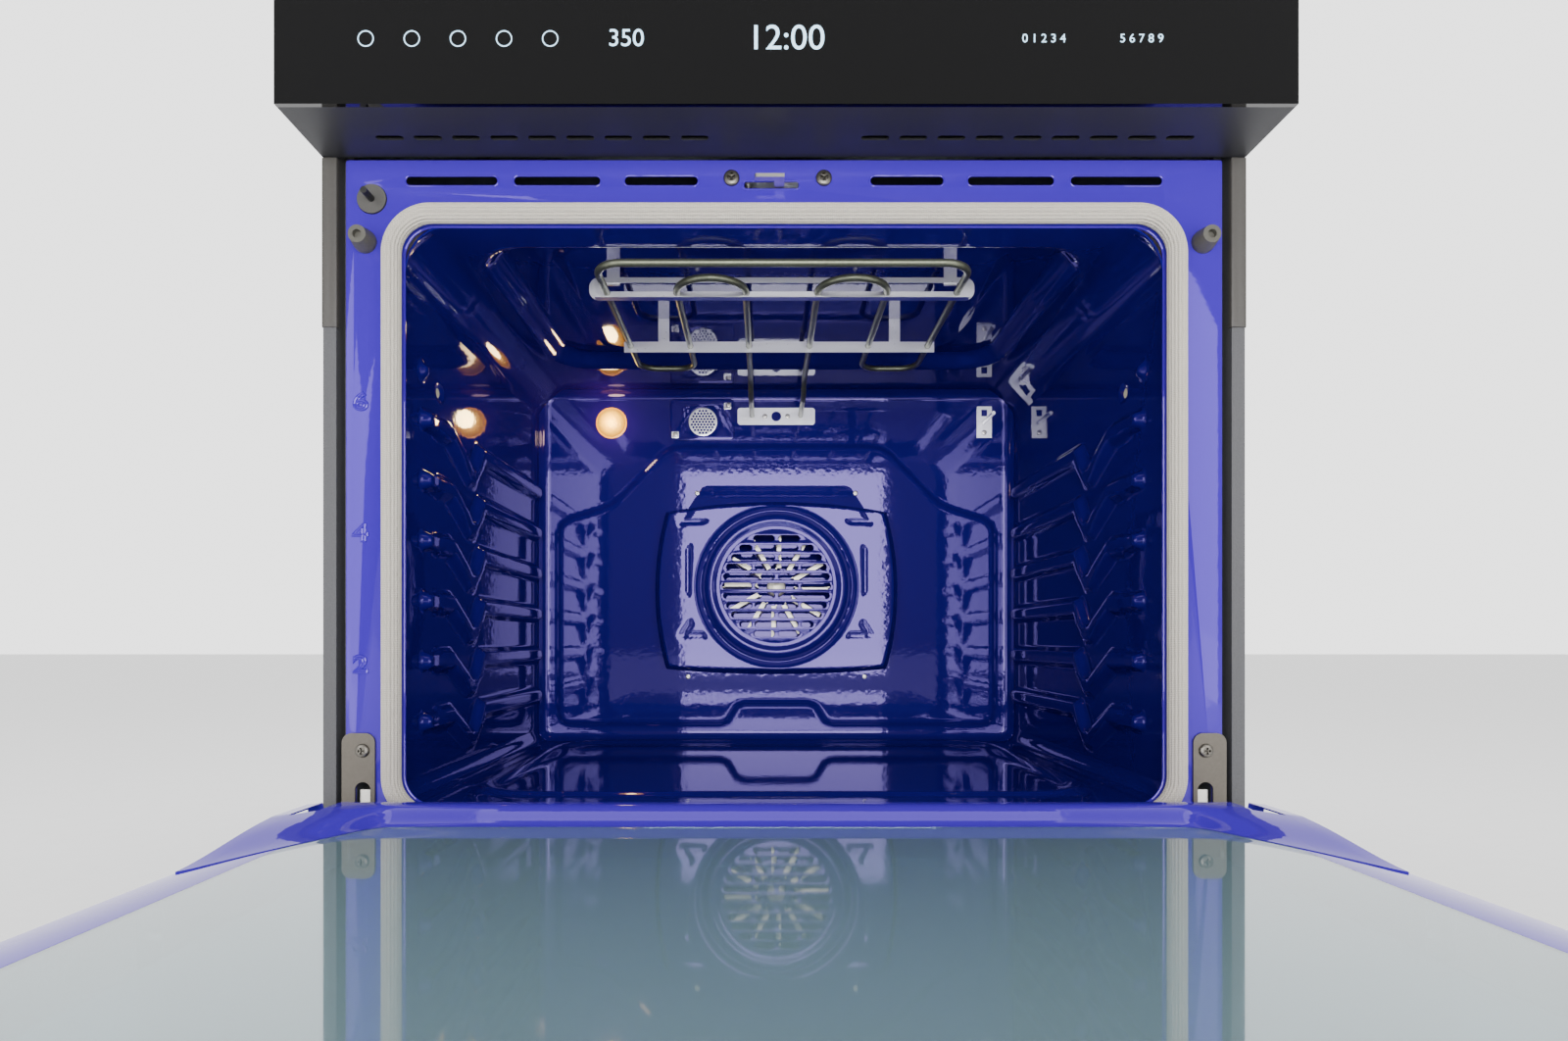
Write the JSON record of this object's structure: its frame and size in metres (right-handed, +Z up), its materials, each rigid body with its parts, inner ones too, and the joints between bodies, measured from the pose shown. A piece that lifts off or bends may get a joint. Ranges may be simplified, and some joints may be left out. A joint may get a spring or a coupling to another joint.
{
  "type": "wall oven",
  "caption": "Built-in single wall oven: blue enamelled convection cavity behind a drop-down glazed door, drawn with the door open.",
  "frame": {"origin": "underside of the base pan, on the oven's centre line, in the plane of the front frame", "axes": "+X to the right across the oven seen from the front, +Y into the oven, +Z up"},
  "size_m": [0.7578, 1.215, 0.74],
  "materials": {
    "enamel_frame": "gloss porcelain enamel",
    "enamel_cavity": "gloss porcelain enamel",
    "gasket_braid": "woven glass fibre braid",
    "blanket": "glass fibre wool",
    "trim_grey": "textured powder coat",
    "cap_grey": "satin moulded",
    "galvanised": "galvanised sheet",
    "panel_dark": "satin",
    "panel_glass": "polished",
    "display": "display",
    "circuit_board": "solder mask",
    "element_tube": "oxidised alloy tube",
    "ring_tube": "oxidised alloy tube",
    "bright_steel": "satin",
    "motor": "painted",
    "fan_metal": "matt",
    "lens": "moulded",
    "bulb": "clear",
    "latch_steel": "satin",
    "switch_plastic": "moulded",
    "plunger_plastic": "moulded",
    "bumper_rubber": "moulded",
    "hinge_plate": "dark plated",
    "hinge_steel": "plated",
    "fasteners": "plated",
    "inner_glass": "coated float glass",
    "outer_glass": "tinted float glass",
    "stainless": "brushed"
  },
  "bodies": {
    "chassis": {"front_frame": "enamel_frame", "cavity_wrap": "enamel_cavity", "cavity_back": "enamel_cavity", "fan_cover": "enamel_cavity", "vent_cover": "enamel_cavity", "door_gasket": "gasket_braid", "insulation_blanket": "blanket", "side_trim_left": "trim_grey", "side_trim_right": "trim_grey", "bottom_trim": "trim_grey", "trim_caps": "cap_grey", "side_panel_left": "galvanised", "side_panel_right": "galvanised", "base_pan": "galvanised", "back_cover": "galvanised", "top_cover": "galvanised", "air_duct": "galvanised", "blower_housing": "galvanised", "junction_box": "galvanised", "fan_motor_bracket": "galvanised", "lamp_housing": "galvanised", "hinge_receivers": "galvanised", "control_housing": "panel_dark", "control_glass": "panel_glass", "display_module": "display", "control_board": "circuit_board", "grill_element": "element_tube", "floor_element": "element_tube", "ring_element": "ring_tube", "grill_bracket_front": "bright_steel", "grill_bracket_rear": "bright_steel", "element_plate": "bright_steel", "temperature_probe": "bright_steel", "vent_screen": "bright_steel", "fan_motor": "motor", "blower_motor": "motor", "lamp_lens": "lens", "lamp_bulb": "bulb", "latch_housing": "latch_steel", "switch_body": "switch_plastic", "door_bumpers": "bumper_rubber", "hinge_plates": "hinge_plate", "hinge_arms": "hinge_steel", "case_screws": "fasteners", "frame_screws": "fasteners", "cavity_screws": "fasteners"},
    "convection_fan": {"convection_fan": "fan_metal"},
    "blower_wheel": {"blower_wheel": "fan_metal"},
    "latch_hook": {"latch_hook": "latch_steel"},
    "switch_plunger": {"switch_plunger": "plunger_plastic"},
    "door": {"door_liner": "enamel_frame", "door_inner_glass": "inner_glass", "door_middle_glass": "inner_glass", "door_front_panel": "stainless", "door_window_glass": "outer_glass", "handle_bar": "stainless", "handle_posts": "stainless", "hinge_channels": "hinge_steel", "door_screws": "fasteners"}
  },
  "joints": [
    {"name": "door_hinge", "type": "hinge", "parent": "chassis", "child": "door", "pos_m": [0, -0.057, 0.07], "axis": [-1, 0, 0], "range_deg": [0, 90], "deforming": ["door_gasket"]},
    {"name": "convection_fan_spin", "type": "hinge", "parent": "chassis", "child": "convection_fan", "pos_m": [0, 0.455, 0.3194], "axis": [0, 1, 0], "continuous": true},
    {"name": "blower_spin", "type": "hinge", "parent": "chassis", "child": "blower_wheel", "pos_m": [0, 0.4, 0.64], "axis": [0, 0, 1], "continuous": true},
    {"name": "latch_turn", "type": "hinge", "parent": "chassis", "child": "latch_hook", "pos_m": [-0.03, 0.024, 0.6195], "axis": [0, 0, 1], "range_deg": [0, 20]},
    {"name": "switch_push", "type": "slide", "parent": "chassis", "child": "switch_plunger", "axis": [0, 1, 0], "range_m": [0, 0.004], "stiffness_N_per_m": 200}
  ]
}
